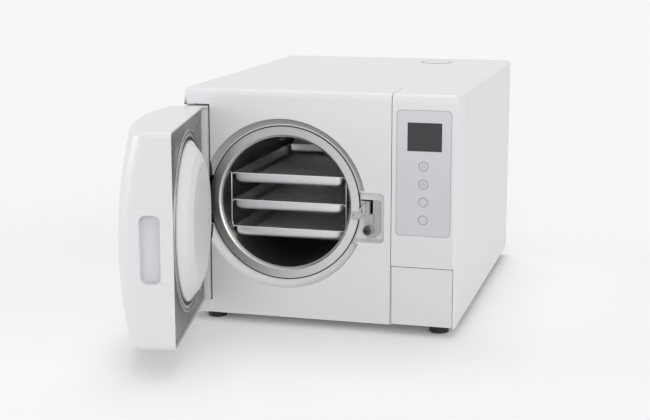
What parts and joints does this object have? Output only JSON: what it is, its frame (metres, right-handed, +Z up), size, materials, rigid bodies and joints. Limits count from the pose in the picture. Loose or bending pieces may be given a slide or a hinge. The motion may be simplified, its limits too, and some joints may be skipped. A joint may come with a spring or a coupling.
{
  "type": "autoclave",
  "caption": "Bench-top steam autoclave with a round chamber, wire rack of perforated trays, domed side-hinged door, key panel with display, service flap and top filler.",
  "frame": {"origin": "on the bench under the middle of the outline, measured with the door open as drawn", "axes": "+X to the right seen from the front, +Y from the front towards the back, +Z up"},
  "size_m": [0.5616, 1.0328, 0.4395],
  "materials": {
    "white_moulding": "satin",
    "white_enamel": "satin",
    "keypad_film": "matte",
    "display_glass": "gloss",
    "key_dome": "matte",
    "steel_bright": "brushed",
    "steel_dark": "brushed",
    "tray_aluminium": "satin",
    "seal_silicone": "matte",
    "gasket_black": "matte",
    "foot_rubber": "matte",
    "zinc_sheet": "satin",
    "hinge_iron": "matte",
    "insulation_felt": "matte",
    "brass_fitting": "satin",
    "black_moulding": "matte",
    "grey_moulding": "matte",
    "board_green": "matte",
    "tank_plastic": "matte"
  },
  "bodies": {
    "cabinet": {"air_filter": "tank_plastic", "base_pan": "zinc_sheet", "chamber_insulation": "insulation_felt", "chamber_saddles": "zinc_sheet", "chamber_vessel": "steel_bright", "condenser": "tray_aluminium", "control_keypad": "keypad_film", "control_module": "white_moulding", "cooling_fan": "black_moulding", "display_window": "display_glass", "drain_valves": "brass_fitting", "feet_front": "foot_rubber", "feet_rear": "foot_rubber", "filler_neck": "white_moulding", "flange_ring": "steel_bright", "front_frame": "zinc_sheet", "front_panel": "white_moulding", "heater_band": "steel_dark", "hinge_arm": "hinge_iron", "keypad_board": "board_green", "latch_drive": "zinc_sheet", "latch_link": "steel_bright", "latch_plate": "steel_bright", "main_board": "board_green", "power_entry": "black_moulding", "power_supply": "zinc_sheet", "rack_frame": "steel_bright", "rear_panel": "white_enamel", "safety_valve": "brass_fitting", "service_bay": "grey_moulding", "steam_baffle": "steel_bright", "steam_generator": "steel_bright", "temperature_probe": "steel_bright", "top_cover": "white_enamel", "used_water_tank": "tank_plastic", "vacuum_pump": "hinge_iron", "valve_manifold": "brass_fitting", "water_tank": "tank_plastic"},
    "door": {"door_shell": "white_moulding", "door_liner": "steel_dark", "pressure_plate": "steel_dark", "door_gasket": "gasket_black", "door_seal": "seal_silicone", "door_carrier": "hinge_iron", "door_screws": "steel_bright", "door_plug": "foot_rubber"},
    "tray_1": {"tray_1": "tray_aluminium"},
    "tray_2": {"tray_2": "tray_aluminium"},
    "tray_3": {"tray_3": "tray_aluminium"},
    "button_1": {"button_1": "key_dome"},
    "button_2": {"button_2": "key_dome"},
    "button_3": {"button_3": "key_dome"},
    "button_4": {"button_4": "key_dome"},
    "service_door": {"service_door": "white_moulding"},
    "latch_bolt": {"latch_bolt": "steel_bright"},
    "filler_cap": {"filler_cap": "white_moulding"},
    "drain_knob_clean": {"drain_knob_clean": "grey_moulding"},
    "drain_knob_used": {"drain_knob_used": "grey_moulding"},
    "fan_rotor": {"fan_rotor": "black_moulding"},
    "switch_rocker": {"switch_rocker": "black_moulding"}
  },
  "joints": [
    {"name": "door_hinge", "type": "hinge", "parent": "cabinet", "child": "door", "pos_m": [-0.20817, -0.18571, 0.229], "axis": [0, 0, 1], "range_deg": [0, 78.6]},
    {"name": "tray_1_slide", "type": "slide", "parent": "cabinet", "child": "tray_1", "axis": [0, 1, 0], "range_m": [-0.125, 0]},
    {"name": "tray_2_slide", "type": "slide", "parent": "cabinet", "child": "tray_2", "axis": [0, 1, 0], "range_m": [-0.125, 0]},
    {"name": "tray_3_slide", "type": "slide", "parent": "cabinet", "child": "tray_3", "axis": [0, 1, 0], "range_m": [-0.125, 0]},
    {"name": "button_1_press", "type": "slide", "parent": "cabinet", "child": "button_1", "axis": [0, 1, 0], "range_m": [0, 0.001], "stiffness_N_per_m": 700, "springref_m": -0.0006},
    {"name": "button_2_press", "type": "slide", "parent": "cabinet", "child": "button_2", "axis": [0, 1, 0], "range_m": [0, 0.001], "stiffness_N_per_m": 700, "springref_m": -0.0006},
    {"name": "button_3_press", "type": "slide", "parent": "cabinet", "child": "button_3", "axis": [0, 1, 0], "range_m": [0, 0.001], "stiffness_N_per_m": 700, "springref_m": -0.0006},
    {"name": "button_4_press", "type": "slide", "parent": "cabinet", "child": "button_4", "axis": [0, 1, 0], "range_m": [0, 0.001], "stiffness_N_per_m": 700, "springref_m": -0.0006},
    {"name": "service_door_hinge", "type": "hinge", "parent": "cabinet", "child": "service_door", "pos_m": [0.21893, -0.15681, 0.0222], "axis": [1, 0, 0], "range_deg": [0, 90]},
    {"name": "latch_bolt_slide", "type": "slide", "parent": "cabinet", "child": "latch_bolt", "axis": [0, -1, 0], "range_m": [0, 0.013]},
    {"name": "filler_cap_lift", "type": "slide", "parent": "cabinet", "child": "filler_cap", "axis": [0, 0, 1], "range_m": [0, 0.04]},
    {"name": "drain_knob_clean_turn", "type": "hinge", "parent": "cabinet", "child": "drain_knob_clean", "pos_m": [0.18233, -0.11321, 0.054], "axis": [0, 1, 0], "range_deg": [0, 90]},
    {"name": "drain_knob_used_turn", "type": "hinge", "parent": "cabinet", "child": "drain_knob_used", "pos_m": [0.25633, -0.11321, 0.054], "axis": [0, 1, 0], "range_deg": [0, 90]},
    {"name": "fan_rotor_spin", "type": "hinge", "parent": "cabinet", "child": "fan_rotor", "pos_m": [-0.10067, 0.49879, 0.11], "axis": [0, 1, 0], "continuous": true},
    {"name": "switch_rocker_tilt", "type": "hinge", "parent": "cabinet", "child": "switch_rocker", "pos_m": [0.22133, 0.51079, 0.116], "axis": [0, 0, 1], "range_deg": [0, 11]}
  ]
}
